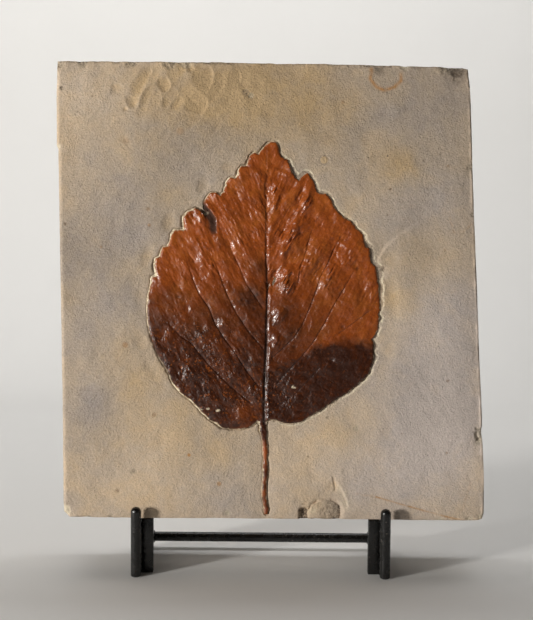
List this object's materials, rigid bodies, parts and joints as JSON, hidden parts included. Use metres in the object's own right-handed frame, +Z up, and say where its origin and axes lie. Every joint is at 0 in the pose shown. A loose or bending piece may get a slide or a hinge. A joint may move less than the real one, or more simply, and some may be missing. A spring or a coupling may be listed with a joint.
{
  "type": "fossil leaf plate",
  "caption": "Stone slab with a serrated fossil leaf standing in a cut groove, leaning back in a low black stand of welded iron.",
  "frame": {"origin": "centre of the bounding box's underside, on the floor under the stand", "axes": "+Z up, +X to the viewer's right, the leaf's face towards -Y and leaning back by 4 degrees"},
  "size_m": [0.2376, 0.0724, 0.2813],
  "materials": {
    "matrix_stone": "rough, warm grey to tan",
    "leaf_film": "varnished, rust brown to dark brown",
    "black_iron": "satin black paint"
  },
  "bodies": {
    "root": {"matrix_slab": "matrix_stone", "fossil_leaf": "leaf_film", "prong_left": "black_iron", "prong_right": "black_iron", "side_plate_left": "black_iron", "side_plate_right": "black_iron", "front_leg_left": "black_iron", "front_leg_right": "black_iron", "post_left": "black_iron", "post_right": "black_iron", "crossbar_low": "black_iron", "crossbar_high": "black_iron"}
  },
  "joints": []
}
